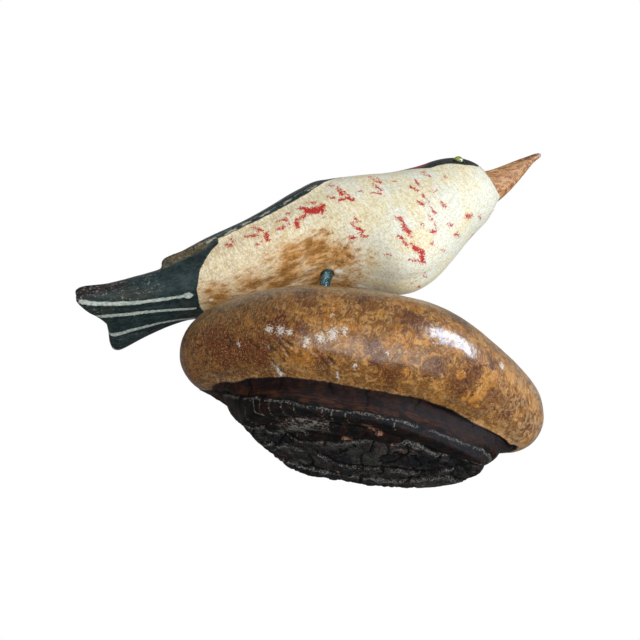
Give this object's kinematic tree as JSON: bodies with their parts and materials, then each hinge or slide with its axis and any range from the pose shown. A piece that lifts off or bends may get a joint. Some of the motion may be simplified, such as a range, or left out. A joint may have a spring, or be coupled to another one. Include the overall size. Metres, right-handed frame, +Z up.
{
  "type": "carved wooden bird on a bracket fungus",
  "caption": "Painted folk carving of a woodpecker, held by a threaded steel rod above an upturned bracket fungus that serves as its stand.",
  "frame": {"origin": "in the middle of the worn flat that the fungus stands on, at floor height", "axes": "+X along the width of the stand towards the bird's head, -Y towards the rounded rim at the front, +Z up"},
  "size_m": [0.2632, 0.1083, 0.2321],
  "materials": {
    "painted_wood": "thin aged paint, satin",
    "varnished_fungus": "varnished rim, dry black crust",
    "zinc_plated_steel": "blue zinc plate",
    "eye_enamel": "gloss"
  },
  "bodies": {
    "root": {"carved_bird": "painted_wood", "fungus_base": "varnished_fungus", "threaded_rod": "zinc_plated_steel", "eye_left": "eye_enamel", "eye_right": "eye_enamel"}
  },
  "joints": []
}
